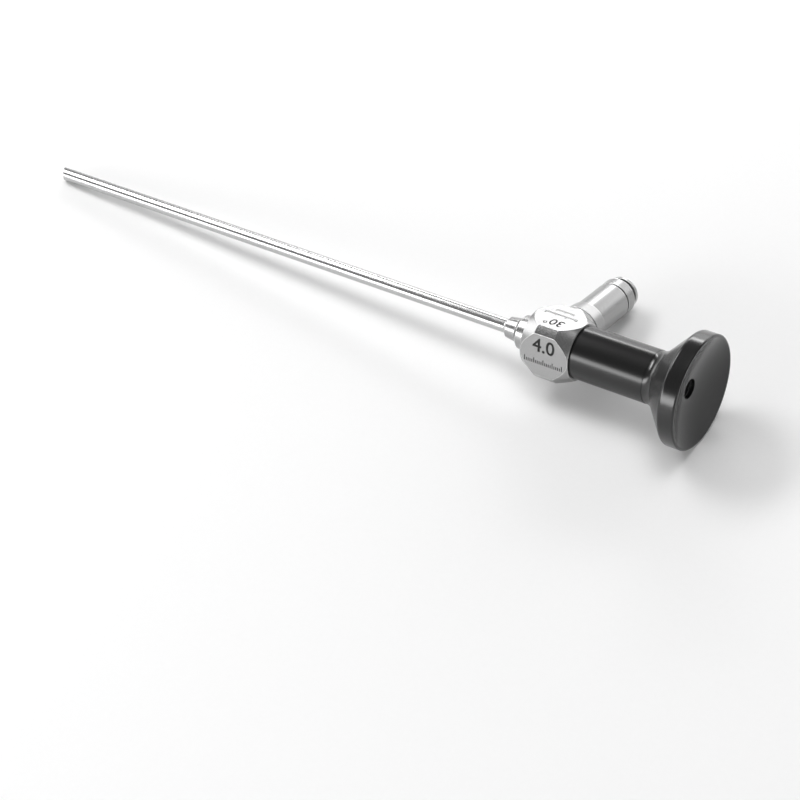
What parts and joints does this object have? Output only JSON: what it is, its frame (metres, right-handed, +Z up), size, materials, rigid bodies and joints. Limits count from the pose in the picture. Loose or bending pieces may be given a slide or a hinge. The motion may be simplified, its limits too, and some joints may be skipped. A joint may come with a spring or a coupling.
{
  "type": "rigid endoscope",
  "caption": "Rigid endoscope: slim steel shaft with a bevelled tip, faceted hub with a side light post, black sleeve and trumpet-shaped eyecup with a dished face and sight hole.",
  "frame": {"origin": "on the surface that the scope lies on, under the middle of its bounding box", "axes": "+Z up; +X along the shaft towards the eyepiece, level; +Y the side that the light post points to. The scope lies on the eyecup's shoulder, the shaft's tip and the end of the light post, so its own axis is tilted up towards the eyepiece by 3.61 degrees and the post droops by 14.7 degrees."},
  "size_m": [0.2272, 0.0514, 0.0322],
  "materials": {
    "shaft_steel": "drawn tube, polished bright",
    "satin_steel": "turned and milled, glass-blasted satin with bright edges",
    "inner_steel": "plain drawn or turned steel, hidden",
    "black_sleeve": "black anodised, semi-gloss",
    "black_eyecup": "black high-temperature plastic, satin, moulded and turned",
    "optical_glass": "polished clear glass",
    "fibre_glass": "potted fibre bundle, ground and polished at both ends",
    "black_brass": "blackened brass"
  },
  "bodies": {
    "root": {"outer_tube": "shaft_steel", "inner_tube": "inner_steel", "light_fibres": "fibre_glass", "distal_window": "optical_glass", "deflection_prism": "optical_glass", "objective_spacer": "black_brass", "objective_lens": "optical_glass", "shaft_collar": "satin_steel", "hub_body": "satin_steel", "post_base": "satin_steel", "post_barrel": "satin_steel", "post_end": "satin_steel", "fibre_ferrule": "inner_steel", "light_entry_window": "optical_glass", "ocular_housing": "inner_steel", "eyepiece_window": "optical_glass", "ocular_sleeve": "black_sleeve", "eyecup": "black_eyecup", "ocular_tube": "black_brass", "field_stop": "black_brass", "stop_spacer": "black_brass", "ocular_front_lens": "optical_glass", "ocular_spacer": "black_brass", "ocular_rear_lens": "optical_glass", "ocular_lock_ring": "black_brass", "relay_spacer_1": "black_brass", "rod_lens_1": "optical_glass", "relay_spacer_2": "black_brass", "rod_lens_2": "optical_glass", "relay_spacer_3": "black_brass", "rod_lens_3": "optical_glass", "relay_spacer_4": "black_brass", "rod_lens_4": "optical_glass", "relay_spacer_5": "black_brass", "rod_lens_5": "optical_glass", "relay_spacer_6": "black_brass", "rod_lens_6": "optical_glass"}
  },
  "joints": []
}
